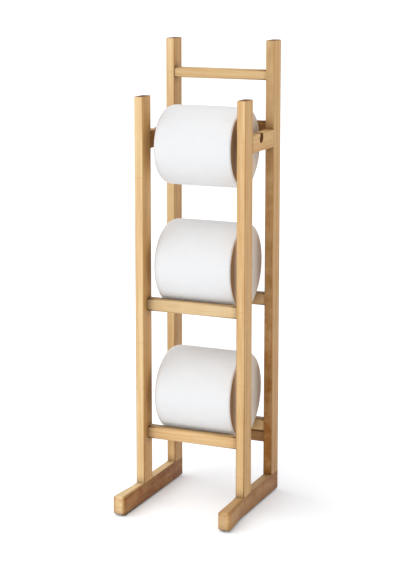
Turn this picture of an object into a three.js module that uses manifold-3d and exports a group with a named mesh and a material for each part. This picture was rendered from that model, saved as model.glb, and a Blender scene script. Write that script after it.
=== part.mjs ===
// Free-standing toilet paper holder: a ladder-like wooden stand on two runner feet.
// Millimetres, +Z up, the front towards -Y, origin on the floor under the middle.
import * as THREE from 'three';
import { mergeVertices } from 'three/addons/utils/BufferGeometryUtils.js';
import Module from 'manifold-3d';

const wasm = await Module();
wasm.setup();

// Stand
const widthOverPosts = 166;
const postPitch = 106.5; // front face of a front post to front face of a rear post
const postDepth = 27;
const boardThickness = 13; // posts, feet and rails are cut from one board
const toeLength = 65; // the foot in front of the front post
const toeFlare = 5.5; // how far the toe widens, outwards only
const toeTipLength = 9; // the full-width end of the toe
const footHeight = 27;
const postEdge = 1.5;
const footEdge = 2.5;
const endEdgeShare = 0.7; // an end's round, as a share of the long edges' round

// Non-slip strip under each foot
const stripThickness = 2;
const stripWidth = 8;
const stripEndMargin = 6;

// Rails across the stand
const railHeight = 18;
const railSetback = 12.5; // outer post face to outer rail face
const railEdge = 2;
const topRailHeight = 14.5;
const stretcherHeight = 16;

// Slotted rails along the sides, which carry the spindle
const slottedRailHeight = 24.5;
const slotSeatDrop = 8.5; // rail top to spindle axis
const slotLean = THREE.MathUtils.degToRad(16); // the way out, back from vertical
const slotClearance = 0.35;

// Heights, from the floor up, each from the one before
const lowerRailZ = 93; // underside of the lower shelf's rails
const shelfPitch = 186.5; // lower to middle shelf
const slottedRailRise = 229.5; // middle shelf's undersides to the slotted rails' undersides
const upperRearRailRise = 16; // slotted rails' undersides to the upper rear rail's underside
const frontPostRise = 49.5; // front post tops over the slotted rails
const topRailRise = 68.5; // top rail's underside over the slotted rails
const rearPostRise = 41.5; // rear post tops over the top rail

// Spindle: a turned rod with a neck at each end
const spindleRadius = 7;
const neckRadius = 4.25;
const neckEndMargin = 5; // neck end to outer rail face
const shoulderGap = 0.7; // spindle shoulder to inner rail face
const neckChamfer = 0.8;

// Paper rolls
const rollLength = 118;
const topRollRadius = 57; // partly used
const fullRollRadius = 62;
const topRollOffset = 1.5; // along the spindle, to the right
const rollBackGap = 5.5; // top roll to the rail behind it, more than the slots lean back
const coreInnerRadius = 20;
const coreWall = 1;
const coreFit = 0.15; // paper to core
const rollEdge = 1.5;
const restGap = 0.3; // a roll to what it rests on

// Glued dowel pins
const dowelRadius = 3;
const dowelReach = { thin: 8, deep: 10 }; // into a post's thickness, into the grain
const dowelFit = 0.15;
const dowelEndGap = 0.4;

const finish = (color, roughness) => new THREE.MeshStandardMaterial({ color, roughness, metalness: 0 });
const bamboo = finish('#dcb67e', 0.5);
const slotBamboo = finish('#cfa468', 0.5);
const dowelWood = finish('#d9bd8c', 0.7);
const tissue = finish('#f2f2f2', 0.95);
const cardboard = finish('#b59a78', 0.9);
const rubber = finish('#4a4038', 0.85);

// Derived places
const overallDepth = toeLength + postPitch + postDepth;
const footTop = stripThickness + footHeight;
const frontRow = -overallDepth / 2 + toeLength;
const rearRow = frontRow + postPitch;
const sideX = widthOverPosts / 2 - boardThickness / 2;
const innerX = widthOverPosts / 2 - boardThickness;
const sideSign = { left: -1, right: 1 };
const middleRailZ = lowerRailZ + shelfPitch;
const slottedRailZ = middleRailZ + slottedRailRise;
const slottedRailTop = slottedRailZ + slottedRailHeight;
const upperRearRailZ = slottedRailZ + upperRearRailRise;
const topRailZ = slottedRailTop + topRailRise;
const frontPostTop = slottedRailTop + frontPostRise;
const rearPostTop = topRailZ + topRailHeight + rearPostRise;
const rowStart = { front: frontRow, rear: rearRow };
const rowTop = { front: frontPostTop, rear: rearPostTop };
const railY = {
  front: frontRow + railSetback + boardThickness / 2,
  rear: rearRow + postDepth - railSetback - boardThickness / 2,
};
const backRailY = rearRow + postDepth - boardThickness / 2; // flush with the rear posts' backs
const spindleY = backRailY - boardThickness / 2 - rollBackGap - topRollRadius;
const spindleZ = slottedRailTop - slotSeatDrop;

const holder = new THREE.Group();
const members = []; // wooden members, each waiting for its dowel holes
const dowels = [];

// A rectangle centred on the origin with round corners.
function roundedRectangle(width, height, radius) {
  const x = width / 2;
  const y = height / 2;
  const shape = new THREE.Shape();
  shape.moveTo(-x + radius, -y);
  shape.lineTo(x - radius, -y);
  shape.absarc(x - radius, -y + radius, radius, -Math.PI / 2, 0);
  shape.lineTo(x, y - radius);
  shape.absarc(x - radius, y - radius, radius, 0, Math.PI / 2);
  shape.lineTo(-x + radius, y);
  shape.absarc(-x + radius, y - radius, radius, Math.PI / 2, Math.PI);
  shape.lineTo(-x, -y + radius);
  shape.absarc(-x + radius, -y + radius, radius, Math.PI, 1.5 * Math.PI);
  return shape;
}

// A centred bar along one axis, its long edges rounded and, when asked, its end edges too.
function barGeometry(axis, size, edge, endEdge) {
  const section = { x: [size.z, size.y], y: [size.x, size.z], z: [size.x, size.y] }[axis];
  const length = size[axis];
  const geometry = new THREE.ExtrudeGeometry(roundedRectangle(section[0], section[1], edge), {
    depth: length - 2 * endEdge,
    curveSegments: 3,
    bevelEnabled: endEdge > 0,
    bevelThickness: endEdge,
    bevelSize: endEdge,
    bevelOffset: -endEdge,
    bevelSegments: 2,
  });
  geometry.translate(0, 0, endEdge - length / 2);
  if (axis === 'x') geometry.rotateY(Math.PI / 2);
  if (axis === 'y') geometry.rotateX(-Math.PI / 2);
  return geometry;
}

function toSolid(geometry) {
  const bare = geometry.clone();
  bare.deleteAttribute('normal');
  bare.deleteAttribute('uv');
  const merged = mergeVertices(bare, 1e-4);
  return new wasm.Manifold(new wasm.Mesh({
    numProp: 3,
    vertProperties: new Float32Array(merged.attributes.position.array),
    triVerts: new Uint32Array(merged.index.array),
  }));
}

function toGeometry(solid) {
  const mesh = solid.getMesh();
  const geometry = new THREE.BufferGeometry();
  geometry.setAttribute('position', new THREE.BufferAttribute(mesh.vertProperties, 3));
  geometry.setIndex(new THREE.BufferAttribute(mesh.triVerts, 1));
  geometry.computeVertexNormals();
  return geometry;
}

function place(name, geometry, material, at) {
  const mesh = new THREE.Mesh(geometry, material);
  mesh.name = name;
  mesh.position.copy(at);
  holder.add(mesh);
  return mesh;
}

// A wooden member: its blank, where it goes, and any cut besides its dowel holes.
function addMember(name, axis, size, at, edge, endEdge, material = bamboo, cut = null) {
  members.push({ name, geometry: barGeometry(axis, size, edge, endEdge), material, at, cut });
  return members.at(-1);
}

// A pin from a face point, reaching back into one member and on into the other.
function addDowel(name, axis, direction, face, back, ahead, joins) {
  const at = face.clone();
  at[axis] += direction * (ahead - back) / 2;
  dowels.push({ name, axis, at, length: back + ahead, joins });
}

function pinGeometry(axis, radius, length) {
  const geometry = new THREE.CylinderGeometry(radius, radius, length, 12);
  if (axis === 'x') geometry.rotateZ(Math.PI / 2);
  if (axis === 'z') geometry.rotateX(Math.PI / 2);
  return geometry;
}

// The toe widens outwards from the front post's face to its tip.
function toeSolid(sign) {
  const kneeSize = new THREE.Vector3(boardThickness, footEdge, footHeight);
  const tipSize = new THREE.Vector3(boardThickness + toeFlare, toeTipLength, footHeight);
  const knee = barGeometry('y', kneeSize, footEdge, 0);
  const tip = barGeometry('y', tipSize, footEdge, footEdge * endEdgeShare);
  knee.translate(0, frontRow - kneeSize.y / 2, 0);
  tip.translate((sign * toeFlare) / 2, (tipSize.y - overallDepth) / 2, 0);
  return wasm.Manifold.hull([toSolid(knee), toSolid(tip)]);
}

function addFeet() {
  for (const [side, sign] of Object.entries(sideSign)) {
    const size = new THREE.Vector3(boardThickness, overallDepth, footHeight);
    const at = new THREE.Vector3(sign * sideX, 0, stripThickness + footHeight / 2);
    addMember(`${side}_foot`, 'y', size, at, footEdge, footEdge * endEdgeShare).toe = toeSolid(sign);
    const strip = new THREE.BoxGeometry(stripWidth, overallDepth - 2 * stripEndMargin, stripThickness);
    const stripAt = new THREE.Vector3(sign * sideX, 0, stripThickness / 2);
    place(`${side}_non_slip_strip`, strip, rubber, stripAt);
  }
}

function addPosts() {
  for (const [side, sign] of Object.entries(sideSign)) {
    for (const [row, start] of Object.entries(rowStart)) {
      const name = `${side}_${row}_post`;
      const size = new THREE.Vector3(boardThickness, postDepth, rowTop[row] - footTop);
      const at = new THREE.Vector3(sign * sideX, start + postDepth / 2, footTop + size.z / 2);
      addMember(name, 'z', size, at, postEdge, postEdge * endEdgeShare);
      const joint = new THREE.Vector3(at.x, at.y, footTop);
      const joins = [name, `${side}_foot`];
      addDowel(`dowel_${name}_foot`, 'z', 1, joint, dowelReach.deep, dowelReach.deep, joins);
    }
  }
}

// A rail between the left and right posts of one row.
function addRail(name, row, y, underside, height) {
  const size = new THREE.Vector3(2 * innerX, boardThickness, height);
  const at = new THREE.Vector3(0, y, underside + height / 2);
  addMember(name, 'x', size, at, railEdge, 0);
  for (const [side, sign] of Object.entries(sideSign)) {
    const joint = new THREE.Vector3(sign * innerX, at.y, at.z);
    const joins = [name, `${side}_${row}_post`];
    addDowel(`dowel_${name}_${side}`, 'x', sign, joint, dowelReach.deep, dowelReach.thin, joins);
  }
}

// The way the spindle neck takes: a seat, an upright rear wall and a leaning front wall.
function slotCutter() {
  const radius = neckRadius + slotClearance;
  const lean = Math.tan(slotLean);
  const over = slotSeatDrop + 5; // past the rail's top edge
  const frontX = -radius * Math.cos(slotLean);
  const frontY = radius * Math.sin(slotLean);
  const rearX = slotSeatDrop * lean + radius / Math.cos(slotLean);
  const shape = new THREE.Shape();
  shape.moveTo(frontX, frontY);
  shape.absarc(0, 0, radius, Math.PI - slotLean, 1.5 * Math.PI + slotLean);
  shape.quadraticCurveTo(rearX, -radius * 0.6, rearX, radius * 0.5);
  shape.lineTo(rearX, over);
  shape.lineTo(frontX + (over - frontY) * lean, over);
  shape.closePath();
  const depth = boardThickness + 2;
  const geometry = new THREE.ExtrudeGeometry(shape, { depth, curveSegments: 12, bevelEnabled: false });
  geometry.translate(0, 0, -depth / 2);
  // Shape x runs to the back and shape y up.
  geometry.applyMatrix4(new THREE.Matrix4().makeBasis(
    new THREE.Vector3(0, 1, 0),
    new THREE.Vector3(0, 0, 1),
    new THREE.Vector3(1, 0, 0),
  ));
  return geometry;
}

function addSlottedRails() {
  const length = postPitch - postDepth;
  for (const [side, sign] of Object.entries(sideSign)) {
    const name = `${side}_slotted_rail`;
    const size = new THREE.Vector3(boardThickness, length, slottedRailHeight);
    const at = new THREE.Vector3(sign * sideX, frontRow + postDepth + length / 2, slottedRailZ + size.z / 2);
    const cutter = slotCutter().translate(0, spindleY - at.y, spindleZ - at.z);
    addMember(name, 'y', size, at, postEdge, 0, slotBamboo, cutter);
    for (const [row, end] of [['front', -1], ['rear', 1]]) {
      const joint = new THREE.Vector3(at.x, at.y + end * length / 2, at.z);
      const joins = [name, `${side}_${row}_post`];
      addDowel(`dowel_${name}_${row}`, 'y', end, joint, dowelReach.deep, dowelReach.deep, joins);
    }
  }
}

function addSpindle() {
  const end = widthOverPosts / 2 - neckEndMargin;
  const shoulder = innerX - shoulderGap;
  const profile = [
    [0, -end],
    [neckRadius - neckChamfer, -end],
    [neckRadius, -end + neckChamfer],
    [neckRadius, -shoulder],
    [spindleRadius - neckChamfer, -shoulder],
    [spindleRadius, -shoulder + neckChamfer],
    [spindleRadius, shoulder - neckChamfer],
    [spindleRadius - neckChamfer, shoulder],
    [neckRadius, shoulder],
    [neckRadius, end - neckChamfer],
    [neckRadius - neckChamfer, end],
    [0, end],
  ].map(([radius, along]) => new THREE.Vector2(radius, along));
  const geometry = new THREE.LatheGeometry(profile, 32).rotateZ(-Math.PI / 2);
  place('spindle', geometry, dowelWood, new THREE.Vector3(0, spindleY, spindleZ));
}

// A round tube along X whose profile closes on itself, its outer edges eased.
function tubeGeometry(inner, outer, length, ease, segments) {
  const half = length / 2;
  const profile = [
    [inner, -half],
    [outer - ease, -half],
    [outer, -half + ease],
    [outer, half - ease],
    [outer - ease, half],
    [inner, half],
    [inner, -half],
  ].map(([radius, along]) => new THREE.Vector2(radius, along));
  return new THREE.LatheGeometry(profile, segments).rotateZ(-Math.PI / 2);
}

function addRoll(name, radius, at) {
  const coreOuterRadius = coreInnerRadius + coreWall;
  const paper = tubeGeometry(coreOuterRadius + coreFit, radius, rollLength, rollEdge, 60);
  const core = tubeGeometry(coreInnerRadius, coreOuterRadius, rollLength, coreWall / 4, 40);
  place(`${name}_paper`, paper, tissue, at);
  place(`${name}_core`, core, cardboard, at);
}

// A shelf roll lies between two rails and touches the round of each inner top edge.
function shelfRollZ(railUnderside) {
  const edgeY = (railY.rear - railY.front - boardThickness) / 2 + railEdge;
  const reach = fullRollRadius + railEdge + restGap;
  return railUnderside + railHeight - railEdge + Math.sqrt(reach * reach - edgeY * edgeY);
}

function addRolls() {
  const hang = coreInnerRadius - spindleRadius - restGap;
  addRoll('top_roll', topRollRadius, new THREE.Vector3(topRollOffset, spindleY, spindleZ - hang));
  const shelfY = (railY.front + railY.rear) / 2;
  addRoll('middle_roll', fullRollRadius, new THREE.Vector3(0, shelfY, shelfRollZ(middleRailZ)));
  addRoll('lower_roll', fullRollRadius, new THREE.Vector3(0, shelfY, shelfRollZ(lowerRailZ)));
}

// Drills every member for the dowels that join it, then places both.
function joinMembers() {
  for (const member of members) {
    let solid = toSolid(member.geometry);
    if (member.toe) solid = solid.add(member.toe);
    if (member.cut) solid = solid.subtract(toSolid(member.cut));
    for (const dowel of dowels.filter(({ joins }) => joins.includes(member.name))) {
      const hole = pinGeometry(dowel.axis, dowelRadius + dowelFit, dowel.length);
      const offset = dowel.at.clone().sub(member.at);
      solid = solid.subtract(toSolid(hole.translate(offset.x, offset.y, offset.z)));
    }
    place(member.name, toGeometry(solid), member.material, member.at);
  }
  for (const dowel of dowels) {
    const geometry = pinGeometry(dowel.axis, dowelRadius, dowel.length - 2 * dowelEndGap);
    place(dowel.name, geometry, dowelWood, dowel.at);
  }
}

addFeet();
addPosts();
addRail('top_rear_rail', 'rear', railY.rear, topRailZ, topRailHeight);
addRail('upper_rear_rail', 'rear', backRailY, upperRearRailZ, railHeight);
addRail('middle_front_rail', 'front', railY.front, middleRailZ, railHeight);
addRail('middle_rear_rail', 'rear', railY.rear, middleRailZ, railHeight);
addRail('lower_front_rail', 'front', railY.front, lowerRailZ, railHeight);
addRail('lower_rear_rail', 'rear', railY.rear, lowerRailZ, railHeight);
addRail('lower_back_stretcher', 'rear', railY.rear, lowerRailZ - stretcherHeight, stretcherHeight);
addSlottedRails();
addSpindle();
addRolls();
joinMembers();

export default holder;
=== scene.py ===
import math
from functools import partial

import bpy
import numpy as np
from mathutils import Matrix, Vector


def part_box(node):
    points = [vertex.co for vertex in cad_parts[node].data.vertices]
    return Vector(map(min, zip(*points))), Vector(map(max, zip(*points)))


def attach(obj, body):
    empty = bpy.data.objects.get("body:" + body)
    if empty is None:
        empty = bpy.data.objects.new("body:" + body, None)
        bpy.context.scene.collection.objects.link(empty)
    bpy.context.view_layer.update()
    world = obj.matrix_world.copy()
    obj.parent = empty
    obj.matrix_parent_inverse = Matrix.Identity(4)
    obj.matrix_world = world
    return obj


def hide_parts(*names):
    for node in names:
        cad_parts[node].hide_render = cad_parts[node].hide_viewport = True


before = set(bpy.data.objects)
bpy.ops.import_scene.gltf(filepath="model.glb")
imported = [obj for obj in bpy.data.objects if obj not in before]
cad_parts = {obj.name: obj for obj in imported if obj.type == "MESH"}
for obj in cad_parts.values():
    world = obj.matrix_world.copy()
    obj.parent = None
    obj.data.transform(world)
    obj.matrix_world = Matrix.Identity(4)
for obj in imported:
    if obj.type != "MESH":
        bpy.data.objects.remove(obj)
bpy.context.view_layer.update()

mm = 0.001
sides = ("left", "right")


def hexToLinear(code):
    # sRGB hex to linear rgba: c / 12.92 where it is dark, ((c + 0.055) / 1.055) ^ 2.4 above that
    channels = [int(code[i:i + 2], 16) / 255 for i in (1, 3, 5)]
    linear = [c / 12.92 if c <= 0.04045 else ((c + 0.055) / 1.055) ** 2.4 for c in channels]
    return (*linear, 1.0)


camera = {
    "place": (0.874, -2.0145, 0.790),  # metres, in front and to the right
    "turn": 23.42,  # degrees that it looks left of straight ahead
    "tilt": 9.27,  # degrees below the horizon
    "lens": 101.0,
    "shift": -0.14,
}
light = {
    "world": "#f8f9fb",
    "worldStrength": 0.74,
    "keyRound": -48.0,  # degrees, round to the left of straight in front
    "keyHeight": 38.0,  # degrees above the horizon
    "keyStrength": 1.75,
    "keySoftness": 100.0,  # degrees of sky that it fills
    "floorGlow": 0.18,  # of its own light, so that it shows white
    "floorHalf": 60.0,  # metres
}


def addKeyLight():
    # one broad, even light from front left, so that the far floor is as light as the near floor
    lamp = bpy.data.lights.new("keyLight", "SUN")
    lamp.energy = light["keyStrength"]
    lamp.angle = math.radians(light["keySoftness"])
    obj = bpy.data.objects.new("keyLight", lamp)
    bpy.context.collection.objects.link(obj)
    obj.rotation_euler = (math.radians(90 - light["keyHeight"]), 0, math.radians(light["keyRound"]))


def setStage():
    # camera, world, key light and a flat square floor
    view = bpy.data.cameras.new("eyeLevelCamera")
    view.lens = camera["lens"]
    view.shift_y = camera["shift"]
    eye = bpy.data.objects.new("eyeLevelCamera", view)
    bpy.context.collection.objects.link(eye)
    eye.location = camera["place"]
    eye.rotation_euler = (math.radians(90 - camera["tilt"]), 0, math.radians(camera["turn"]))
    bpy.context.scene.camera = eye

    world = bpy.data.worlds.new("softRoom")
    world.use_nodes = True
    background = world.node_tree.nodes["Background"]
    background.inputs["Color"].default_value = hexToLinear(light["world"])
    background.inputs["Strength"].default_value = light["worldStrength"]
    bpy.context.scene.world = world
    bpy.context.scene.view_settings.view_transform = "Standard"  # colours show as they are mixed
    addKeyLight()

    half = light["floorHalf"]
    corners = [(-half, -half, 0), (half, -half, 0), (half, half, 0), (-half, half, 0)]
    floor = meshObject("floor", corners, [(0, 1, 2, 3)], [False])
    floor.data.materials.append(whitePaintedFloor())
    print("stage set")


def meshObject(name, points, faces, smooth, attributes=None):
    # points and faces become one mesh object;
    # smooth says which faces shade smooth, and attributes go on the points
    mesh = bpy.data.meshes.new(name)
    mesh.from_pydata(np.asarray(points, dtype=float).tolist(), [], [tuple(map(int, f)) for f in faces])
    mesh.polygons.foreach_set("use_smooth", np.asarray(smooth, dtype=bool))
    for key, values in (attributes or {}).items():
        values = np.asarray(values, dtype=np.float32)
        isVector = values.ndim == 2
        layer = mesh.attributes.new(key, "FLOAT_VECTOR" if isVector else "FLOAT", "POINT")
        layer.data.foreach_set("vector" if isVector else "value", values.ravel())
    mesh.update()
    obj = bpy.data.objects.new(name, mesh)
    bpy.context.collection.objects.link(obj)
    return obj


def gridFaces(rows, columns, closeRows=False):
    # quads between each ring of a grid and the next; columns close round, rows close too when asked
    row, column = np.meshgrid(np.arange(rows if closeRows else rows - 1), np.arange(columns), indexing="ij")
    nextRow = (row + 1) % rows
    nextColumn = (column + 1) % columns
    quads = np.stack([row * columns + column, row * columns + nextColumn,
                      nextRow * columns + nextColumn, nextRow * columns + column], -1)
    return quads.reshape(-1, 4)


def cappedFaces(rows, columns):
    # the grid's quads, then one face over its first ring and one over its last
    firstRing = tuple(range(columns))[::-1]
    lastRing = tuple(range((rows - 1) * columns, rows * columns))
    return [tuple(face) for face in gridFaces(rows, columns)] + [firstRing, lastRing]


def boardRandom(name):
    # a fixed number from 0 to 1 for each name: the sum of its letters' codes times their places,
    # times the golden share, wrapped
    goldenShare = 0.6180339
    return (sum((i + 1) * ord(c) for i, c in enumerate(name)) * goldenShare) % 1.0


def fillSockets(tree, node, values):
    # values go in by name or number: an output is linked, a node stands for its first output,
    # and a hex colour is made linear
    for key, value in values.items():
        if isinstance(value, bpy.types.Node):
            value = value.outputs[0]
        if isinstance(value, bpy.types.NodeSocket):
            tree.links.new(value, node.inputs[key])
        else:
            node.inputs[key].default_value = hexToLinear(value) if isinstance(value, str) else value


def addNode(tree, kind, *inputs, sockets=None, stops=(), **settings):
    # settings are the node's own fields, inputs fill its sockets in order, sockets by name or number,
    # stops are a colour ramp's places and colours
    node = tree.nodes.new("ShaderNode" + kind)
    for key, value in settings.items():
        setattr(node, key, value)
    fillSockets(tree, node, {**dict(enumerate(inputs)), **(sockets or {})})
    stops = list(stops)
    if stops:
        elements = node.color_ramp.elements
        while len(elements) < len(stops):
            elements.new(0.5)
        for element, (place, colour) in zip(elements, stops):
            element.position = place
            element.color = hexToLinear(colour)
    return node


def newMaterial(name, surface):
    # one Principled shader, whose constant values are set on its own sockets
    material = bpy.data.materials.new(name)
    material.use_nodes = True
    tree = material.node_tree
    shader = tree.nodes["Principled BSDF"]
    fillSockets(tree, shader, surface)
    return material, tree, shader


noAndYes = ("#000000", "#ffffff")  # the two ends of a ramp that gives a share

bamboo = {
    "tones": ((0.22, "#f4dbad"), (0.52, "#e9ca97"), (0.86, "#cfa269")),  # light, middle and dark strips
    "fibre": "#a3702f",
    "knuckle": "#a87a45",
    "endGrain": "#7d5733",
    "pore": "#412a14",
    "oilAndShade": "#a67d38",  # multiplies the wood where the oil stain and the painted shade are darkest
    # colour of the painted shade in the corners of the joints
    "paintedJointShade": "#4c3111",
    "wideSideShade": "#ebd8ba",  # painted shade: multiplies the boards' wide sides so that they look darker, as sides turned from the light do
    "stripMm": 3.9,  # width of a glued strip
    "stripShare": 0.36,  # how much of the tone is a strip's own
    "boardApart": 91.7,  # sets the chance numbers of two boards far apart
    "fibreMm": 0.55,  # real bundles are about 0.3, drawn coarser so that they show
    "fibreLongMm": 55.0,
    "fibreShift": 40.0,  # how far apart two strips' streaks begin, in lengths of fibreLongMm
    "fibreFrom": (0.52, 0.78),  # where in the noise a streak begins, and where it is full
    "fibreDepth": (0.42, 0.15),  # how dark a streak is, and what a wide side adds
    "driftMm": 4.5,  # slow changes of tone, across and along the grain
    "driftLongMm": 120.0,
    "driftShift": 17.0,  # how far apart two boards' drift begins, in lengths of driftLongMm
    "driftShare": 0.7,
    "nodeMm": 235.0,  # knuckle to knuckle along a strip
    "knuckleMm": 2.4,  # how far a knuckle reaches to each side
    "knuckleDepth": 0.16,
    "wornDepth": 0.30,  # how dark the eased edges are
    "cloudPerMm": 0.045,  # oil patches, one in about 22 mm
    "cloudFrom": (0.38, 0.72),
    "cloudDepth": (0.75, 0.4),  # the even part of a stain, and the patchy part
    "specksPerMm": 0.09,  # dark pores, one in about 11 mm
    "speckReach": 0.055,  # as a share of the way to the next one
    "speckDepth": 0.7,
    "bundlesPerMm": 1.1,  # dots on the cut ends; real ones are 0.3 mm apart, drawn coarser to show
    "bundleFrom": (0.12, 0.42),
    "jointMm": 13.0,  # how far from a joint the painted shade reaches
    "jointDepth": 1.1,
    "roughness": (0.40, 0.22),  # the least, and what the fibre adds
    "endRoughness": 0.75,
    "relief": (0.6, 0.5),  # how far fibres and knuckles stand up, as shares of reliefMm
    "reliefMm": 0.25,
}


def laminatedBamboo():
    # pressed and clear-sealed moso bamboo: narrow honey strips, fine fibre streaks,
    # a faint knuckle now and then
    material, tree, shader = newMaterial("laminatedBamboo", {
        "IOR": 1.5, "Specular IOR Level": 0.25, "Coat Weight": 0.04, "Coat Roughness": 0.4})
    add = partial(addNode, tree)
    grain = add("Attribute", attribute_name="grainMm").outputs["Vector"]
    boardChance, tone, worn, ends, wide, stainAndShade = [
        add("Attribute", attribute_name=name).outputs["Fac"]
        for name in ("board", "tone", "worn", "endGrain", "wide", "stainAndShade")]
    across, deep, along = add("SeparateXYZ", grain).outputs

    # which strip, and a chance number for it
    strip = add("Math", add("Math", deep, bamboo["stripMm"], operation="DIVIDE"), operation="FLOOR")
    boardKey = add("Math", boardChance, bamboo["boardApart"], operation="MULTIPLY")
    chance = add("TexWhiteNoise", add("CombineXYZ", strip, boardKey), noise_dimensions="3D")

    # fibre streaks: noise drawn out along the grain, begun at another place on every strip
    fibreAlong = add("Math", add("Math", along, bamboo["fibreLongMm"], operation="DIVIDE"),
                     add("Math", chance, bamboo["fibreShift"], operation="MULTIPLY"), operation="ADD")
    fibrePlace = add("CombineXYZ", add("Math", across, bamboo["fibreMm"], operation="DIVIDE"),
                     add("Math", deep, bamboo["fibreMm"], operation="DIVIDE"), fibreAlong)
    fibre = add("TexNoise", fibrePlace, sockets={"Scale": 1.0, "Detail": 3.0, "Roughness": 0.6})
    streak = add("ValToRGB", fibre, stops=zip(bamboo["fibreFrom"], noAndYes))
    streakLeast, streakWide = bamboo["fibreDepth"]
    streakDepth = add("Math", wide, streakWide, streakLeast, operation="MULTIPLY_ADD")
    streakMix = add("Math", streak, streakDepth, operation="MULTIPLY")

    # slow drift of tone, the same way but broader
    driftAlong = add("Math", add("Math", along, bamboo["driftLongMm"], operation="DIVIDE"),
                     add("Math", boardChance, bamboo["driftShift"], operation="MULTIPLY"), operation="ADD")
    driftPlace = add("CombineXYZ", add("Math", across, bamboo["driftMm"], operation="DIVIDE"),
                     add("Math", deep, bamboo["driftMm"], operation="DIVIDE"), driftAlong)
    drift = add("TexNoise", driftPlace, sockets={"Scale": 1.0, "Detail": 2.0})
    shade = add("Math", add("Math", chance, bamboo["stripShare"], operation="MULTIPLY"),
                add("Math", drift, bamboo["driftShare"], operation="MULTIPLY"), operation="ADD")
    colour = add("ValToRGB", shade, stops=bamboo["tones"])

    # knuckles: a narrow band once in each stretch, at its own place on every strip
    stretch = add("Math", add("Math", along, bamboo["nodeMm"], operation="DIVIDE"), chance, operation="ADD")
    fromMiddle = add("Math", add("Math", stretch, operation="FRACT"), 0.5, operation="SUBTRACT")
    away = add("Math", add("Math", fromMiddle, operation="ABSOLUTE"),
               bamboo["nodeMm"] / bamboo["knuckleMm"], operation="MULTIPLY")
    knuckle = add("Math", 1.0, away, operation="SUBTRACT", use_clamp=True)

    # cloudy patches where the oil took unevenly, strongest on the boards marked as stained or shaded; on the
    # shaded boards this is painted shade
    cloud = add("TexNoise", grain, sockets={"Scale": bamboo["cloudPerMm"], "Detail": 4.0, "Roughness": 0.6})
    patch = add("ValToRGB", cloud, stops=zip(bamboo["cloudFrom"], noAndYes))
    evenStain, patchyStain = bamboo["cloudDepth"]
    patchDepth = add("Math", patch, patchyStain, evenStain, operation="MULTIPLY_ADD")
    stainAndShadeMix = add("Math", stainAndShade, patchDepth, operation="MULTIPLY", use_clamp=True)
    pores = add("TexVoronoi", grain, sockets={"Scale": bamboo["specksPerMm"]})
    pore = add("Math", 1.0, add("Math", pores, bamboo["speckReach"], operation="DIVIDE"),
               operation="SUBTRACT", use_clamp=True)

    # cut ends: closely packed dark bundle dots
    bundles = add("TexVoronoi", grain, sockets={"Scale": bamboo["bundlesPerMm"]})
    bundleShade = add("ValToRGB", bundles, stops=zip(bamboo["bundleFrom"], noAndYes))
    cut = add("Mix", sockets={0: bundleShade, 6: bamboo["pore"], 7: bamboo["endGrain"]}, data_type="RGBA")

    # painted shade: darker in the corners of the joints, where ambient occlusion finds other parts close by
    corner = add("AmbientOcclusion", sockets={"Distance": bamboo["jointMm"] * mm}, samples=8)
    paintedShade = add("Math", 1.0, corner.outputs["AO"], operation="SUBTRACT", use_clamp=True)
    paintedJointShadeMix = add("Math", paintedShade, bamboo["jointDepth"], operation="MULTIPLY", use_clamp=True)

    # one over another: how much of each layer, its colour, and how it goes on
    layers = (
        (streakMix, bamboo["fibre"], "MIX"),
        (add("Math", knuckle, bamboo["knuckleDepth"], operation="MULTIPLY"), bamboo["knuckle"], "MIX"),
        (add("Math", worn, bamboo["wornDepth"], operation="MULTIPLY"), bamboo["knuckle"], "MIX"),
        # painted shade on the boards' wide sides
        (wide, bamboo["wideSideShade"], "MULTIPLY"),
        # oil stain, and painted shade on the boards that stand in shade
        (stainAndShadeMix, bamboo["oilAndShade"], "MULTIPLY"),
        (add("Math", pore, bamboo["speckDepth"], operation="MULTIPLY"), bamboo["pore"], "MIX"),
        (ends, cut.outputs[2], "MIX"),
        # board tone, with painted shade on the rear rails and the back stretcher
        (1.0, add("CombineColor", tone, tone, tone), "MULTIPLY"),
        # painted shade in the corners of the joints
        (paintedJointShadeMix, bamboo["paintedJointShade"], "MIX"),
    )
    for share, over, blend in layers:
        mixed = add("Mix", sockets={0: share, 6: colour, 7: over}, data_type="RGBA", blend_type=blend)
        colour = mixed.outputs[2]

    leastRough, fibreRough = bamboo["roughness"]
    gloss = add("Math", fibre, fibreRough, leastRough, operation="MULTIPLY_ADD")
    roughness = add("Math", gloss, add("Math", ends, bamboo["endRoughness"], operation="MULTIPLY"),
                    operation="MAXIMUM")
    fibreRise, knuckleRise = bamboo["relief"]
    height = add("Math", add("Math", fibre, fibreRise, operation="MULTIPLY"),
                 add("Math", knuckle, knuckleRise, operation="MULTIPLY"), operation="ADD")
    bump = add("Bump", sockets={"Height": height, "Strength": 0.30, "Distance": bamboo["reliefMm"] * mm})
    fillSockets(tree, shader, {"Base Color": colour, "Roughness": roughness, "Normal": bump})
    return material


beech = {
    "dark": ((0.62, "#c39a66"), (0.78, "#a67a48")),  # the tint begins at tintFrom
    "tintFrom": 0.35,
    "flecksPerMetre": (60.0, 1400.0),  # along the rod and across it: about 17 mm long, 0.7 mm wide
    "roughness": (0.42, 0.2),  # the least, and what a fleck adds
    "reliefMm": 0.2,
}


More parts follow.
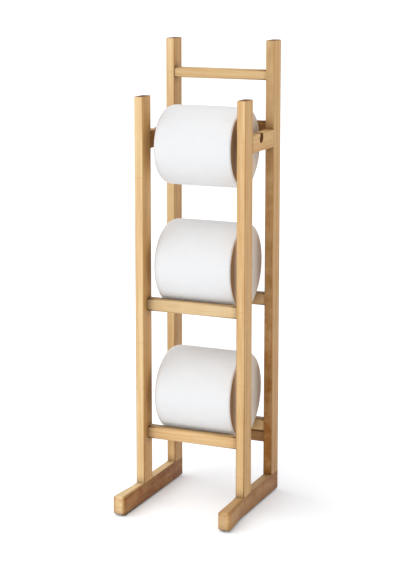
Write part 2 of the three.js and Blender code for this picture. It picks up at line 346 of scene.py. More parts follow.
def turnedBeech(name, tint):
    # turned beech rod: even pale wood with short darker flecks along it
    material, tree, shader = newMaterial(name, {"IOR": 1.5, "Coat Weight": 0.1, "Coat Roughness": 0.4})
    add = partial(addNode, tree)
    along, ahead, up = add("SeparateXYZ", add("TexCoord").outputs["Object"]).outputs
    alongRod, acrossRod = beech["flecksPerMetre"]
    drawn = add("CombineXYZ", add("Math", along, alongRod, operation="MULTIPLY"),
                add("Math", ahead, acrossRod, operation="MULTIPLY"),
                add("Math", up, acrossRod, operation="MULTIPLY"))
    fleck = add("TexNoise", drawn, sockets={"Scale": 1.0, "Detail": 3.0})
    colour = add("ValToRGB", fleck, stops=[(beech["tintFrom"], tint), *beech["dark"]])
    leastRough, fleckRough = beech["roughness"]
    roughness = add("Math", fleck, fleckRough, leastRough, operation="MULTIPLY_ADD")
    bump = add("Bump", sockets={"Height": fleck, "Strength": 0.2, "Distance": beech["reliefMm"] * mm})
    fillSockets(tree, shader, {"Base Color": colour, "Roughness": roughness, "Normal": bump})
    return material


tissue = {
    "white": "#e3e3e3",
    "hollow": "#dcdcdc",
    "endFace": "#e6dcd2",
    "layerLine": "#cbb8a3",
    "paintedShade": "#a0763c",  # painted shade and painted warm reflection of the wood, on the wound edge where wood stands close by
    "paintedShadeMm": 24.0,
    "paintedShadeDepth": (0.15, 1.5),  # everywhere, and what the front adds
    "frontShade": (0.75, -22.0),  # at the middle of the roll, and per metre towards the back
    "embossMm": 3.2,  # one pressed dot to the next
    "rowShare": 0.87,  # rows are closer than dots, as in a honeycomb
    "dotReach": 0.36,  # how far a dot spreads, as a share of embossMm
    "crumplesPerMm": 0.055,  # soft folds, one in about 18 mm
    "crumpleDepth": 0.8,
    "fluffPerMm": 1.6,  # loose fibres, one in about 0.6 mm
    "layerMm": 0.9,  # plies are about 0.2, drawn coarser so that the winding shows
    "ringWander": 1.6,  # in layers
    "wandersPerMm": 0.06,  # the rings stray once in about 17 mm
    "relief": (-0.35, 2.4, 0.22, 1.6),  # dots, folds, fluff and rings, as shares of reliefMm
    "reliefMm": 0.6,
}


def embossedTissue():
    # two-ply bathroom tissue: matt soft white, pressed with small dots, its wound edges showing as rings
    material, tree, shader = newMaterial("embossedTissue", {
        "IOR": 1.3, "Roughness": 0.95, "Specular IOR Level": 0.25,
        "Sheen Weight": 0.25, "Sheen Roughness": 0.6})
    add = partial(addNode, tree)
    sheet = add("Attribute", attribute_name="sheetMm").outputs["Vector"]
    endFace = add("Attribute", attribute_name="endFace").outputs["Fac"]
    along, around, radius = add("SeparateXYZ", sheet).outputs
    flat = add("CombineXYZ", along, around)

    # pressed dots on the sheet: the distance to the nearest lattice point, staggered row by row
    row = add("Math", around, tissue["embossMm"] * tissue["rowShare"], operation="DIVIDE")
    oddRow = add("Math", add("Math", row, operation="FLOOR"), 2.0, operation="MODULO")
    column = add("Math", add("Math", along, tissue["embossMm"], operation="DIVIDE"),
                 add("Math", oddRow, 0.5, operation="MULTIPLY"), operation="ADD")
    u, v = [add("Math", add("Math", place, operation="FRACT"), 0.5, operation="SUBTRACT")
            for place in (column, row)]
    square = add("Math", add("Math", u, u, operation="MULTIPLY"),
                 add("Math", v, v, operation="MULTIPLY"), operation="ADD")
    reach = add("Math", add("Math", square, operation="SQRT"), tissue["dotReach"], operation="DIVIDE")
    dot = add("Math", 1.0, reach, operation="SUBTRACT", use_clamp=True)

    crumple = add("TexNoise", flat,
                  sockets={"Scale": tissue["crumplesPerMm"], "Detail": 4.0, "Roughness": 0.55})
    fluff = add("TexNoise", flat, sockets={"Scale": tissue["fluffPerMm"], "Detail": 3.0})
    crumpleMix = add("Math", crumple, tissue["crumpleDepth"], operation="MULTIPLY")
    sheetColour = add("Mix", sockets={0: crumpleMix, 6: tissue["white"], 7: tissue["hollow"]},
                      data_type="RGBA")

    # wound edge: rings by radius, slightly uneven
    wander = add("TexNoise", sheet, sockets={"Scale": tissue["wandersPerMm"], "Detail": 2.0})
    ringPlace = add("Math", add("Math", radius, tissue["layerMm"], operation="DIVIDE"),
                    add("Math", wander, tissue["ringWander"], operation="MULTIPLY"), operation="ADD")
    ring = add("TexNoise", add("CombineXYZ", ringPlace), sockets={"Scale": 1.0, "Detail": 2.0})
    ringColour = add("Mix", sockets={0: ring, 6: tissue["endFace"], 7: tissue["layerLine"]},
                     data_type="RGBA")

    # painted shade and painted warm reflection on the wound edge where wood stands close by, strongest at
    # the front, beside the front posts
    corner = add("AmbientOcclusion", sockets={"Distance": tissue["paintedShadeMm"] * mm}, samples=8)
    closed = add("Math", 1.0, corner.outputs["AO"], operation="SUBTRACT", use_clamp=True)
    ahead = add("SeparateXYZ", add("TexCoord").outputs["Object"]).outputs[1]
    atMiddle, towardsBack = tissue["frontShade"]
    frontShade = add("Math", ahead, towardsBack, atMiddle, operation="MULTIPLY_ADD", use_clamp=True)
    shutLeast, shadeAtFront = tissue["paintedShadeDepth"]
    paintedShadeDepth = add("Math", frontShade, shadeAtFront, shutLeast, operation="MULTIPLY_ADD")
    paintedShade = add("Math", closed, paintedShadeDepth, operation="MULTIPLY", use_clamp=True)
    edgeColour = add("Mix", sockets={0: paintedShade, 6: ringColour.outputs[2], 7: tissue["paintedShade"]},
                     data_type="RGBA")
    colour = add("Mix", sockets={0: endFace, 6: sheetColour.outputs[2], 7: edgeColour.outputs[2]},
                 data_type="RGBA")

    dotRise, crumpleRise, fluffRise, ringRise = [
        add("Math", rise, share, operation="MULTIPLY")
        for rise, share in zip((dot, crumple, fluff, ring), tissue["relief"])]
    sheetRise = add("Math", dotRise, add("Math", crumpleRise, fluffRise, operation="ADD"), operation="ADD")
    height = add("Mix", sockets={0: endFace, 2: sheetRise, 3: ringRise}, data_type="FLOAT")
    bump = add("Bump", sockets={"Height": height, "Strength": 0.5, "Distance": tissue["reliefMm"] * mm})
    fillSockets(tree, shader, {"Base Color": colour.outputs[2], "Normal": bump})
    return material


card = {
    "tones": ((0.3, "#b99d78"), (0.7, "#9c7f5b")),
    "seam": "#6f573b",
    "seamMm": (62.0, 132.0),  # seam to seam, along the tube and round it
    "seamReach": 0.012,  # as a share of the way to the next seam
    "seamDepth": 0.6,
    "fibresPerMm": 0.9,  # real ones are finer, drawn coarser so that they show
    "fibreRelief": 0.4,
    "reliefMm": 0.3,
}


def spiralCard():
    # spiral-wound grey-brown board: a matt tube with a slanting seam and fine fibres
    material, tree, shader = newMaterial("spiralCard", {"IOR": 1.4, "Roughness": 0.9})
    add = partial(addNode, tree)
    sheet = add("Attribute", attribute_name="sheetMm").outputs["Vector"]
    along, around, _ = add("SeparateXYZ", sheet).outputs
    slant = add("Math", add("Math", along, card["seamMm"][0], operation="DIVIDE"),
                add("Math", around, card["seamMm"][1], operation="DIVIDE"), operation="ADD")
    fromMiddle = add("Math", add("Math", slant, operation="FRACT"), 0.5, operation="SUBTRACT")
    away = add("Math", add("Math", fromMiddle, operation="ABSOLUTE"), card["seamReach"], operation="DIVIDE")
    seam = add("Math", 1.0, away, operation="SUBTRACT", use_clamp=True)
    fibres = add("TexNoise", sheet, sockets={"Scale": card["fibresPerMm"], "Detail": 4.0})
    seamMix = add("Math", seam, card["seamDepth"], operation="MULTIPLY")
    plain = add("ValToRGB", fibres, stops=card["tones"])
    colour = add("Mix", sockets={0: seamMix, 6: plain, 7: card["seam"]}, data_type="RGBA").outputs[2]
    height = add("Math", add("Math", fibres, card["fibreRelief"], operation="MULTIPLY"), seam,
                 operation="SUBTRACT")
    bump = add("Bump", sockets={"Height": height, "Strength": 0.4, "Distance": card["reliefMm"] * mm})
    fillSockets(tree, shader, {"Base Color": colour, "Normal": bump})
    return material


foam = {
    "tones": ((0.0, "#6a5240"), (0.7, "#4d3a2c")),  # the middle of a pebble, and its rim
    "pebblesPerMetre": 900.0,  # one in about 1.1 mm
    "reliefMm": 0.2,
}


def brownEvaFoam():
    # die-cut EVA foam strip: matt dark brown with a fine pebbled skin that grips the floor
    material, tree, shader = newMaterial("brownEvaFoam", {"IOR": 1.45, "Roughness": 0.85})
    add = partial(addNode, tree)
    place = add("TexCoord").outputs["Object"]
    pebble = add("TexVoronoi", place, sockets={"Scale": foam["pebblesPerMetre"]})
    colour = add("ValToRGB", pebble, stops=foam["tones"])
    bump = add("Bump", sockets={"Height": pebble, "Strength": 0.5, "Distance": foam["reliefMm"] * mm})
    fillSockets(tree, shader, {"Base Color": colour, "Normal": bump})
    return material


paint = {
    "tones": ((0.3, "#f9fbfe"), (0.7, "#fcfeff")),
    "mottlesPerMetre": 3.0,  # one in about 33 cm
}


def whitePaintedFloor():
    # white painted board: matt, with the faintest mottle
    material, tree, shader = newMaterial("whitePaintedFloor", {
        "Roughness": 0.9, "Specular IOR Level": 0.1, "Emission Color": "#ffffff",
        "Emission Strength": light["floorGlow"]})
    add = partial(addNode, tree)
    mottle = add("TexNoise", add("TexCoord").outputs["Object"],
                 sockets={"Scale": paint["mottlesPerMetre"], "Detail": 2.0})
    fillSockets(tree, shader, {"Base Color": add("ValToRGB", mottle, stops=paint["tones"])})
    return material


board = {
    "steps": 5,  # faces round an edge
    "taperMm": 14.0,  # how soon the toe's fuller round fades before the post
    "taperRings": 6,
    "tipMm": 9.0,  # the full-width end of the flared toe
    "leastRound": 0.04,  # of a corner's radius, kept where an end draws in
    "edgeWear": (0.25, 1.0),  # on the flats and round the edges
    "cutFade": (3.0, 0.3),  # how fast the end grain comes in over the rounded end, and how late
    "leastInset": 1e-6,  # stands in for the deepest inset where no end is rounded
    # where a board was cut from its plank, by its chance number; the depth also has a least value
    "plankMm": {"across": 37.0, "deep": (1.6, 5.0), "along": 900.0},
    "toneSpread": (0.985, 0.03),  # the least tone, and what the chance number adds
    "plainStain": ((0.10, 0.10), (0.10, 0.10)),  # for a board that boardStainsAndShade doesn't name
}
# which way the grain runs, the round of the long edges at the low and high end, and of the two ends, in mm
members = {
    "post": {"axis": 2, "long": (1.5, 1.5), "ends": (0.0, 1.4), "endGrain": 1.0},
    "foot": {"axis": 1, "long": (3.4, 1.2), "ends": (3.8, 1.2), "endGrain": 0.0},
    "rail": {"axis": 0, "long": (2.0, 2.0), "ends": (0.0, 0.0), "endGrain": 0.0},
}
railNames = ("top_rear_rail", "upper_rear_rail", "middle_front_rail", "middle_rear_rail",
             "lower_front_rail", "lower_rear_rail", "lower_back_stretcher")
# how light each board is, 1 when it isn't named; the low values of the rear rails and the back stretcher are
# painted shade, as they stand behind the rolls
boardTonesAndShade = {
    "middle_front_rail": 0.92,
    "lower_front_rail": 1.02,
    "top_rear_rail": 0.95,
    "right_foot": 0.95,
    "right_rear_post": 0.96,
    "lower_back_stretcher": 0.80,
    "upper_rear_rail": 0.85,
    "middle_rear_rail": 0.90,
}
# how dark the oil stain and painted shade go, at a board's low and high end: on its narrow faces, then on
# its wide ones; the high values on the rear rails, the back stretcher and the right rear post's narrow faces
# are painted shade, and on the feet's wide sides they are partly painted shade
boardStainsAndShade = {
    "left_foot": ((0.10, 0.25), (0.95, 1.05)),
    "right_foot": ((0.42, 0.50), (0.62, 0.90)),
    "left_front_post": ((0.12, 0.08), (0.20, 0.12)),
    "right_front_post": ((0.15, 0.12), (0.30, 0.18)),
    "left_rear_post": ((0.38, 0.08), (0.45, 0.25)),
    "right_rear_post": ((1.15, 0.50), (0.45, 0.00)),
    "left_slotted_rail": ((0.60, 0.60), (0.45, 0.45)),
    "right_slotted_rail": ((0.20, 0.20), (0.12, 0.12)),
    "upper_rear_rail": ((1.00, 1.00), (1.00, 1.00)),
    "middle_rear_rail": ((0.55, 0.55), (0.55, 0.55)),
    "middle_front_rail": ((0.26, 0.16), (0.26, 0.16)),
    "lower_front_rail": ((0.14, 0.10), (0.14, 0.10)),
    "lower_rear_rail": ((0.45, 0.45), (0.45, 0.45)),
    "lower_back_stretcher": ((1.00, 1.00), (1.00, 1.00)),
}


def cornerLoop(steps):
    # one turn round a rounded rectangle: each point's corner, as signs, and its outward direction (cos, sin)
    turn = np.linspace(0, np.pi / 2, steps + 1)
    angle = np.concatenate([turn + quarter * np.pi / 2 for quarter in range(4)])
    signs = np.repeat([(1, 1), (-1, 1), (-1, -1), (1, -1)], steps + 1, axis=0)
    return signs, np.stack([np.cos(angle), np.sin(angle)], -1)


def grainAttributes(name, points, axis, worn, ends, wide):
    # where each point lies in its plank, in mm (across, deep, along), and how its board is toned and
    # stained, painted shade included: narrow + (broad - narrow) * wide, each going straight from the low end
    # to the high end
    chance = boardRandom(name)
    across, deep = [a for a in range(3) if a != axis]
    grain = np.stack([points[:, across], points[:, deep], points[:, axis]], -1) / mm
    if axis == 0:
        grain = grain[:, [1, 0, 2]]  # rails are laminated through their height
    plank = board["plankMm"]
    deepLeast, deepMore = plank["deep"]
    grain += np.array([chance * plank["across"], deepLeast + chance * deepMore, chance * plank["along"]])
    count = len(points)
    share = (points[:, axis] - points[:, axis].min()) / np.ptp(points[:, axis])
    narrow, broad = (low + (high - low) * share for low, high in boardStainsAndShade.get(name, board["plainStain"]))
    toneLeast, toneMore = board["toneSpread"]
    return {
        "grainMm": grain,
        "board": np.full(count, chance),
        "tone": np.full(count, boardTonesAndShade.get(name, 1.0) * (toneLeast + toneMore * chance)),
        "worn": worn,
        "endGrain": ends,
        "wide": wide,
        "stainAndShade": narrow + (broad - narrow) * wide,
    }


def endRings(radius, half, sign, steps):
    # places and insets of the rings that round an end: out by r sin, in by r (1 - cos)
    if not radius:
        return np.array([sign * half]), np.array([0.0])
    bend = np.linspace(0, np.pi / 2, steps + 1)
    return sign * (half - radius + radius * np.sin(bend)), radius * (1 - np.cos(bend))


def makeBoard(name, kind):
    # a bar with rounded edges: a rounded rectangle is carried along the grain and drawn in towards
    # each end, its corner radius going from the low end's value to the high end's by
    # fade^2 (3 - 2 fade); a foot's outer side leans out in front of the post, by
    # flare * opening * (the point's share of the width)
    low, high = map(np.array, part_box(name))
    make = members[kind]
    axis = make["axis"]
    across, deep = [a for a in range(3) if a != axis]
    size, centre = high - low, (high + low) / 2
    half, steps = size[axis] / 2, board["steps"]
    lowPlace, lowInset = endRings(make["ends"][0] * mm, half, -1, steps)
    highPlace, highInset = endRings(make["ends"][1] * mm, half, 1, steps)
    middle = np.array([])
    if kind == "foot":  # the toe ends where the front post stands, and only the toe is wider than the post
        postLow, postHigh = map(np.array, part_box(name.replace("foot", "front_post")))
        flare = size[0] - (postHigh - postLow)[0]
        centre[0] = (postLow + postHigh)[0] / 2
        size[0] -= flare
        postAt = postLow[axis] - centre[axis]
        tipAt = board["tipMm"] * mm - half
        taper = np.linspace(postAt - board["taperMm"] * mm, postAt, board["taperRings"])
        middle = np.concatenate([[tipAt], taper])
    places = np.concatenate([lowPlace[::-1], middle, highPlace])
    insets = np.concatenate([lowInset[::-1], np.zeros(len(middle)), highInset])
    fade = np.zeros(len(places))
    if len(middle):
        fade = np.clip((places - middle[1]) / (middle[-1] - middle[1]), 0, 1)
    fade = fade * fade * (3 - 2 * fade)
    radii = (make["long"][0] * (1 - fade) + make["long"][1] * fade) * mm

    signs, outward = cornerLoop(steps)
    left = np.maximum(radii - insets, board["leastRound"] * radii)
    beyond = np.maximum(insets - (1 - board["leastRound"]) * radii, 0)
    halfSection = np.array([size[across], size[deep]]) / 2
    flats = halfSection[None, None] - (radii + beyond)[:, None, None]
    rings = signs[None] * flats + outward[None] * left[:, None, None]
    points = np.zeros((len(places), len(signs), 3))
    points[..., across] = rings[..., 0]
    points[..., deep] = rings[..., 1]
    points[..., axis] = places[:, None]
    if kind == "foot":
        outer = math.copysign(1, centre[0])
        opening = np.clip((postAt - places) / (postAt - tipAt), 0, 1)[:, None]
        points[..., 0] += outer * flare * opening * (0.5 + outer * points[..., 0] / size[0])
    points = points.reshape(-1, 3) + centre

    rows, columns = len(places), len(signs)
    faces = cappedFaces(rows, columns)
    if axis == 1:  # the two other axes are taken in x, z order, which turns the loop the other way
        faces = [face[::-1] for face in faces]
    place = np.arange(columns) % (steps + 1)
    smooth = [bool(place[c] != steps) or insets[r] != insets[r + 1]
              for r in range(rows - 1) for c in range(columns)] + [False, False]
    flatWear, edgeWear = board["edgeWear"]
    worn = np.tile(np.where((place > 0) & (place < steps), edgeWear, flatWear), rows)
    drawnIn = insets / max(insets.max(), board["leastInset"])
    fadeRate, fadeStart = board["cutFade"]
    ends = make["endGrain"] * np.repeat(np.clip(drawnIn * fadeRate - fadeStart, 0, 1), columns)
    wide = np.tile(np.abs(outward[:, 0]), rows) * (axis != 0) * np.repeat(1 - drawnIn, columns)
    piece = meshObject(name + "_bamboo", points, faces, smooth,
                       grainAttributes(name, points, axis, worn, ends, wide))
    piece.data.materials.append(materials["bamboo"])
    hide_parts(name)
    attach(piece, "frame")


slot = {
    "clearanceMm": 0.35,  # round the spindle's neck
    "leanDegrees": 16.0,
    "lipMm": 1.1,  # how far each lip's corner is cut back
    "edgeMm": 0.7,
    "edgeSteps": 3,
    "arcSteps": 20,
    "sweepSteps": 7,
    "sweep": (0.6, 0.5),  # how far below and above the neck's centre the rear curve bends, in radii
    "wear": 0.2,
    "leastTurn": 0.4,  # keeps the inset from running away at a sharp corner
    # the sawn part: its middle and reach in depth and how far down from the seat, and below the rail's top
    "sawnMm": {"middle": 2.0, "reach": 9.0, "below": 6.0, "top": 0.5},
}


def curveThrough(start, control, end, steps):
    # a quadratic curve: (1 - t)^2 start + 2 t (1 - t) control + t^2 end
    t = np.linspace(0, 1, steps + 1)[:, None]
    return (1 - t) ** 2 * start + 2 * t * (1 - t) * control + t ** 2 * end


def slotPath(top):
    # the cut for a spindle neck, as points from the front lip down round the seat and up the rear wall:
    # the seat is an arc about the spindle, the front wall leans, the rear wall stands upright
    radius = (spindle["neckMm"] + slot["clearanceMm"]) * mm
    lean = math.radians(slot["leanDegrees"])
    rearX = top * math.tan(lean) + radius / math.cos(lean)
    front = np.array([-radius * math.cos(lean), radius * math.sin(lean)])
    lip = front + np.array([math.tan(lean), 1.0]) * (top - front[1])
    angle = np.linspace(math.pi - lean, 1.5 * math.pi + lean, slot["arcSteps"])
    seat = np.stack([np.cos(angle), np.sin(angle)], -1) * radius
    below, above = slot["sweep"]
    control, end = np.array([rearX, -radius * below]), np.array([rearX, radius * above])
    sweep = curveThrough(seat[-1], control, end, slot["sweepSteps"])[1:]
    return np.concatenate([[lip], seat, sweep, [[rearX, top]]])


def softenCorners(loop, isCorner, radius, steps=4):
    # cuts each marked corner with a quadratic curve that bends towards it, from a radius before it
    # to a radius after it
    count = len(loop)
    out = []
    for i in range(count):
        here = loop[i]
        if not isCorner[i]:
            out.append(here)
            continue
        before, after = loop[i - 1] - here, loop[(i + 1) % count] - here
        a = here + before / np.linalg.norm(before) * radius
        b = here + after / np.linalg.norm(after) * radius
        out.extend(curveThrough(a, here, b, steps))
    return np.array(out)


def insetDirections(loop):
    # for each point of an outline, the way in that moves both its edges by one: (n1 + n2) / (1 + n1 . n2)
    first, second = loop - np.roll(loop, 1, 0), np.roll(loop, -1, 0) - loop
    first /= np.linalg.norm(first, axis=1)[:, None]
    second /= np.linalg.norm(second, axis=1)[:, None]
    inward = np.stack([first[:, 1] + second[:, 1], -first[:, 0] - second[:, 0]], -1)
    return inward / np.maximum(1 + (first * second).sum(1), slot["leastTurn"])[:, None]


def makeSlottedRail(side):
    # a side rail with its slot: an outline in depth and height, carried through the board's thickness
    # and drawn in at each face by e (1 - cos), out by e sin, to ease the edge
    name = f"{side}_slotted_rail"
    low, high = map(np.array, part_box(name))
    neckLow, neckHigh = map(np.array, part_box("spindle"))
    seat = ((neckLow + neckHigh) / 2)[1:]
    cut = slotPath(high[2] - seat[1]) + seat
    corners = np.array([[low[1], high[2]], *cut, [high[1], high[2]], [high[1], low[2]], [low[1], low[2]]])
    isLip = np.zeros(len(corners), dtype=bool)
    isLip[[1, len(cut)]] = True
    loop = softenCorners(corners, isLip, slot["lipMm"] * mm)
    inward = insetDirections(loop)
    atEnds = np.isclose(loop[:, 0], low[1]) | np.isclose(loop[:, 0], high[1])
    inward[atEnds, 0] = 0  # the ends stay on the posts
    edge = slot["edgeMm"] * mm
    bend = np.linspace(0, np.pi / 2, slot["edgeSteps"] + 1)
    inset = edge * (1 - np.cos(bend))
    place = (high[0] - low[0]) / 2 - edge + edge * np.sin(bend)
    insets = np.concatenate([inset[::-1], inset])
    places = np.concatenate([-place[::-1], place]) + (low[0] + high[0]) / 2
    rows, columns = len(places), len(loop)
    points = np.zeros((rows, columns, 3))
    points[..., 1:] = loop[None] + inward[None] * insets[:, None, None]
    points[..., 0] = places[:, None]
    points = points.reshape(-1, 3)

    faces = [face[::-1] for face in cappedFaces(rows, columns)]
    smooth = np.ones(len(faces), dtype=bool)
    smooth[-2:] = False
    middle = slot["edgeSteps"] * columns
    smooth[middle:middle + columns] = False
    sawnMm = slot["sawnMm"]
    nearSlot = np.abs(points[:, 1] - seat[0] - sawnMm["middle"] * mm) < sawnMm["reach"] * mm
    underTop = points[:, 2] < high[2] - sawnMm["top"] * mm
    inSlot = nearSlot & underTop & (points[:, 2] > seat[1] - sawnMm["below"] * mm)
    inner = np.repeat((np.arange(rows) > 0) & (np.arange(rows) < rows - 1), columns)
    sawn = np.where(inSlot & inner, 1.0, 0.0)
    worn, wide = np.full(len(points), slot["wear"]), np.ones(len(points))
    piece = meshObject(name + "_bamboo", points, faces, smooth,
                       grainAttributes(name, points, 1, worn, sawn, wide))
    piece.data.materials.append(materials["bamboo"])
    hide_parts(name)
    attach(piece, "frame")


def makeWoodwork():
    for side in sides:
        makeBoard(f"{side}_foot", "foot")
        makeBoard(f"{side}_front_post", "post")
        makeBoard(f"{side}_rear_post", "post")
        makeSlottedRail(side)
    for name in railNames:
        makeBoard(name, "rail")
    print("woodwork made")


roll = {
    "pressedMm": (11.0, 8.0),  # the left end was pressed soft in its pack: along the roll, towards the core
    "crispMm": (3.5, 3.0),  # the right end
    "crownMm": 0.8,  # fuller in the middle than at the ends
    "tailMm": 0.7,  # step where the last sheet ends
    "tailFrom": 0.985,  # how far round the step has fallen, before it rises again
    "rippleMm": 0.45,
    # waves round, turn by the roll's chance number, twist along it, and share of the ripple
    "ripples": ((3, 6, 2.1, 0.5), (5, 9, -2.6, 0.3), (9, 0, 5.0, 0.2)),
    "fadePower": 3,  # how fast all of it fades towards the core
    "crownPower": 3,
    "wobbleMm": 0.25,  # how uneven the wound edge is
    "wobbleWaves": 2,  # round the roll
    "wobbleTurns": (11, 3),  # turn by the chance number, of the waves and of the rings
    "wobbleRingMm": 4.3,
    "endMm": 2.0,  # what counts as the wound edge, from each end
    "coneMm": 1.1,  # how far the wound edge leans in towards the core
    "coneCurve": 1.5,
    "cardGapMm": 0.1,  # between the paper and its core
    "cardMm": 1.0,
    "cardEdgeMm": 0.25,
    "around": 192,
    "cardAround": 96,
    "faceSteps": 26,
    "bendSteps": 12,
    "skinSteps": 40,
    "faceSlope": 0.8,  # flatter than this counts as wound edge
}
rollBodies = {"top": "top_roll", "middle": "middle_roll", "lower": "lower_roll"}
tailTurn = {"top": 2.35, "middle": 3.9, "lower": 1.2}  # radians, where the loose edge lies


def revolve(centre, profile, around, bend=None):
    # a closed profile of (radius, along) turned round the X axis: y = r cos, z = r sin;
    # the sheet gives each point's place on the unrolled surface, in mm: along, angle times radius, radius
    turn = np.linspace(0, 2 * np.pi, around, endpoint=False)
    radius = np.repeat(profile[:, :1], around, 1)
    along = np.repeat(profile[:, 1:2], around, 1)
    angle = np.repeat(turn[None], len(profile), 0)
    if bend:
        radius, along = bend(radius, along, angle)
    points = np.stack([along, radius * np.cos(angle), radius * np.sin(angle)], -1) + np.array(centre)
    sheet = np.stack([along / mm, angle * profile[:, :1].max() / mm, radius / mm], -1)
    return points.reshape(-1, 3), sheet.reshape(-1, 3)


def paperEnd(inner, outer, half, ease):
    # half of the section, from the core out over one end: a face with a slight cone, then a quarter ellipse
    reach, drop = (value * mm for value in ease)
    face = np.linspace(inner, outer - drop, roll["faceSteps"])
    toCore = 1 - (face - inner) / (outer - drop - inner)
    sink = half - roll["coneMm"] * mm * toCore ** roll["coneCurve"]
    bend = np.linspace(0, np.pi / 2, roll["bendSteps"] + 1)[1:]
    over = np.stack([outer - drop + drop * np.sin(bend), half - reach + reach * np.cos(bend)], -1)
    return np.concatenate([np.stack([face, sink], -1), over])


def paperProfile(inner, outer, half):
    # the wound paper's closed section: right end, outside, left end, and straight back through the bore
    right = paperEnd(inner, outer, half, roll["crispMm"])
    left = paperEnd(inner, outer, half, roll["pressedMm"])[::-1] * np.array([1, -1])
    skin = np.linspace(right[-1, 1], left[0, 1], roll["skinSteps"])[1:-1]
    return np.concatenate([right, np.stack([np.full(len(skin), outer), skin], -1), left])


def makeRoll(key):
    # wound paper and its card core, each a closed section turned round the roll's axis
    body = rollBodies[key]
    low, high = map(np.array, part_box(f"{body}_paper"))
    coreLow, coreHigh = map(np.array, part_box(f"{body}_core"))
    centre, half, outer = (low + high) / 2, (high[0] - low[0]) / 2, (high[2] - low[2]) / 2
    inner = (coreHigh[2] - coreLow[2]) / 2 + roll["cardGapMm"] * mm
    chance = boardRandom(body)

    def soften(radius, along, angle):
        # crown by |along|^3, the last sheet's step by the angle, and a slow ripple of sines,
        # all fading to nothing at the core by depth^3
        depth = np.clip((radius - inner) / (outer - inner), 0, 1) ** roll["fadePower"]
        lengthShare = along / half
        crown = -roll["crownMm"] * mm * np.abs(lengthShare) ** roll["crownPower"]
        since = np.mod(angle - tailTurn[key], 2 * np.pi) / (2 * np.pi)
        falling, rising = since / roll["tailFrom"], (1 - since) / (1 - roll["tailFrom"])
        step = -roll["tailMm"] * mm * np.where(since > roll["tailFrom"], rising, falling)
        ripple = sum(np.sin(count * angle + turn * chance + twist * lengthShare) * share
                     for count, turn, twist, share in roll["ripples"])
        move = depth * (crown + step + (ripple - 1) / 2 * roll["rippleMm"] * mm)  # only ever inwards
        waveTurn, ringTurn = roll["wobbleTurns"]
        waves = np.sin(roll["wobbleWaves"] * angle + waveTurn * chance)
        rings = np.sin(radius / (roll["wobbleRingMm"] * mm) + ringTurn * chance)
        wobble = (waves * rings - 1) * roll["wobbleMm"] * mm
        atEnd = np.abs(along) > half - roll["endMm"] * mm
        return radius + move, along + np.sign(along) * np.where(atEnd, wobble, 0)

    profile = paperProfile(inner, outer, half)
    points, sheet = revolve(centre, profile, roll["around"], soften)
    faces = gridFaces(len(profile), roll["around"], closeRows=True)
    onFace = np.abs(np.gradient(profile[:, 1])) < np.abs(np.gradient(profile[:, 0])) * roll["faceSlope"]
    endFace = np.repeat(onFace.astype(float), roll["around"])
    paper = meshObject(f"{body}_tissue", points, faces, np.ones(len(faces), dtype=bool),
                       {"sheetMm": sheet, "endFace": endFace})
    paper.data.materials.append(materials["tissue"])
    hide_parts(f"{body}_paper")
    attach(paper, body)

    end, lip = (coreHigh[0] - coreLow[0]) / 2, roll["cardEdgeMm"] * mm
    outside = inner - roll["cardGapMm"] * mm
    inside = outside - roll["cardMm"] * mm
    wall = np.array([[inside + lip, end], [outside - lip, end], [outside, end - lip], [outside, -end + lip],
                     [outside - lip, -end], [inside + lip, -end], [inside, -end + lip], [inside, end - lip]])
    points, sheet = revolve((coreLow + coreHigh) / 2, wall, roll["cardAround"])
    faces = gridFaces(len(wall), roll["cardAround"], closeRows=True)
    core = meshObject(f"{body}_card", points, faces, np.ones(len(faces), dtype=bool), {"sheetMm": sheet})
    core.data.materials.append(materials["card"])
    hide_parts(f"{body}_core")
    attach(core, body)


def makeRolls():
    for key in rollBodies:
        makeRoll(key)
    print("rolls made")


spindle = {
    "shoulderMm": 7.0,  # radius of the middle
    "neckMm": 4.25,  # radius of each end
    "shoulderAtMm": 69.3,  # from the middle
    "easeMm": 1.0,
    "easeSteps": 5,
    "poleMm": 0.02,  # radius of the small face that closes each end
    "around": 64,
}


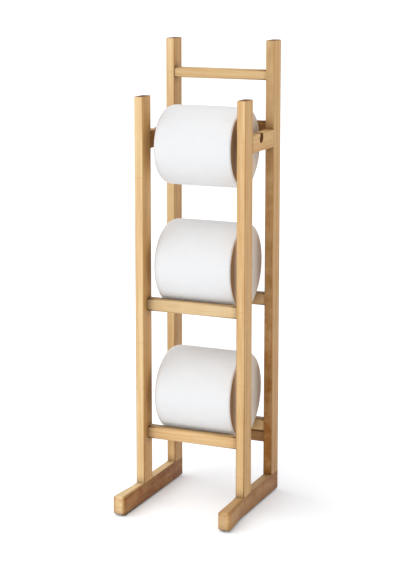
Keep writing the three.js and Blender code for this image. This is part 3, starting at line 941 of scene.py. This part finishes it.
def makeSpindle():
    # a turned rod: a thick middle and a neck at each end, every edge a quarter circle, closed at the axis
    low, high = map(np.array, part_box("spindle"))
    centre, end = (low + high) / 2, (high[0] - low[0]) / 2
    thick, thin = spindle["shoulderMm"] * mm, spindle["neckMm"] * mm
    shoulder, ease = spindle["shoulderAtMm"] * mm, spindle["easeMm"] * mm
    bend = np.linspace(0, np.pi / 2, spindle["easeSteps"] + 1)
    tip = np.stack([thin - ease + ease * np.sin(bend), end - ease + ease * np.cos(bend)], -1)
    step = np.stack([thick - ease + ease * np.sin(bend), shoulder - ease + ease * np.cos(bend)], -1)
    right = np.concatenate([[[spindle["poleMm"] * mm, end]], tip, [[thin, shoulder]], step])
    profile = np.concatenate([right, right[::-1] * np.array([1, -1])])
    points, _ = revolve(centre, profile, spindle["around"])
    faces = cappedFaces(len(profile), spindle["around"])
    rod = meshObject("spindle_rod", points, faces, np.ones(len(faces), dtype=bool))
    rod.data.materials.append(materials["spindle"])
    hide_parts("spindle")
    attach(rod, "spindle")
    print("spindle made")


stripShape = {
    "rimMm": 0.35,  # how far the top and bottom rims are eased in
    "rimFrom": 0.72,  # of the half height, where the easing begins
    "endSteps": 12,
}


def makeStrips():
    # foam strips: seen from above a straight run with half-round ends, (r cos, r sin) moved out by
    # half the run, carried up through four rings, the first and last drawn in
    for side in sides:
        name = f"{side}_non_slip_strip"
        low, high = map(np.array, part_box(name))
        size, centre = high - low, (high + low) / 2
        radius = size[0] / 2
        run = size[1] / 2 - radius
        bend = np.linspace(0, np.pi, stripShape["endSteps"] + 1)
        arc = np.stack([radius * np.cos(bend), radius * np.sin(bend)], -1)
        loop = np.concatenate([arc + [0, run], -arc - [0, run]])
        rimIn, rimFrom = stripShape["rimMm"] * mm, stripShape["rimFrom"]
        rim = np.array([[rimIn, -1.0], [0.0, -rimFrom], [0.0, rimFrom], [rimIn, 1.0]])
        inward = loop - np.clip(loop, [0, -run], [0, run])
        inward /= np.linalg.norm(inward, axis=1)[:, None]
        rings = loop[None] - inward[None] * rim[:, :1, None]
        heights = np.repeat(rim[:, 1:2, None] * size[2] / 2, len(loop), 1)
        points = np.concatenate([rings, heights], -1).reshape(-1, 3) + centre
        faces = cappedFaces(len(rim), len(loop))
        strip = meshObject(name + "_foam", points, faces, np.zeros(len(faces), dtype=bool))
        strip.data.materials.append(materials["foam"])
        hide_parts(name)
        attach(strip, "frame")
    print("strips made")


materials = {
    "bamboo": laminatedBamboo(),
    "spindle": turnedBeech("turnedBeech", "#dcbb86"),
    "dowel": turnedBeech("flutedBeechPin", "#e0c496"),
    "tissue": embossedTissue(),
    "card": spiralCard(),
    "foam": brownEvaFoam(),
}
print("materials made")
setStage()
makeWoodwork()
makeRolls()
makeSpindle()
makeStrips()
for name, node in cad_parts.items():
    if name.startswith("dowel_"):  # the pins inside the joints keep their solids and get their wood
        node.data.materials.clear()
        node.data.materials.append(materials["dowel"])
print("dowels given their wood")
